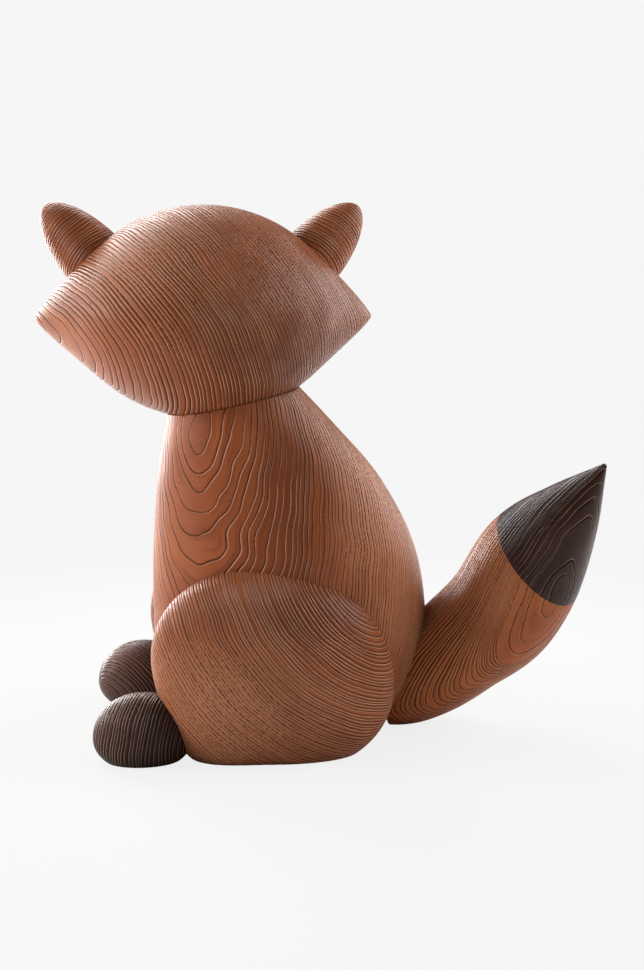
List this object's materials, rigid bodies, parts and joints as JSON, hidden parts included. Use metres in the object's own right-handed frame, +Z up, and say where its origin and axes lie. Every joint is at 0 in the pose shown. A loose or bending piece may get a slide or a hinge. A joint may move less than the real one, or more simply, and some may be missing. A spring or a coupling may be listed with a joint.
{
  "type": "fox figurine",
  "caption": "Sitting wooden fox ornament of smooth rounded pieces, with a wide head that turns on a dished neck, pointed ears, dark feet and a dark-tipped tail that curls to one side.",
  "frame": {"origin": "on the neck dowel's axis, at the level of the flat underside that the fox sits on", "axes": "+Z up along the neck dowel; the chest faces -X and the tail lies at +X; the fox's left side is at -Y; at rest the head looks along +Y"},
  "size_m": [0.2434, 0.1505, 0.2356],
  "materials": {
    "brown_ash": "satin",
    "orange_ash": "satin",
    "dark_ash": "satin",
    "bare_beech": "matte"
  },
  "bodies": {
    "body": {"torso": "brown_ash", "neck_dowel": "bare_beech", "haunch_left": "brown_ash", "haunch_right": "brown_ash", "haunch_dowels_left": "bare_beech", "haunch_dowels_right": "bare_beech", "foot_left": "dark_ash", "foot_right": "dark_ash", "foot_dowel_left": "bare_beech", "foot_dowel_right": "bare_beech", "tail": "orange_ash", "tail_dowel": "bare_beech", "tail_tip": "dark_ash", "tail_tip_dowel": "bare_beech"},
    "head": {"head": "brown_ash", "nose": "dark_ash", "eye_left": "dark_ash", "eye_right": "dark_ash", "ear_left": "brown_ash", "ear_right": "brown_ash", "ear_dowel_left": "bare_beech", "ear_dowel_right": "bare_beech"}
  },
  "joints": [
    {"name": "head_swivel", "type": "hinge", "parent": "body", "child": "head", "pos_m": [0, 0, 0.1422], "axis": [0, 0, 1], "continuous": true}
  ]
}
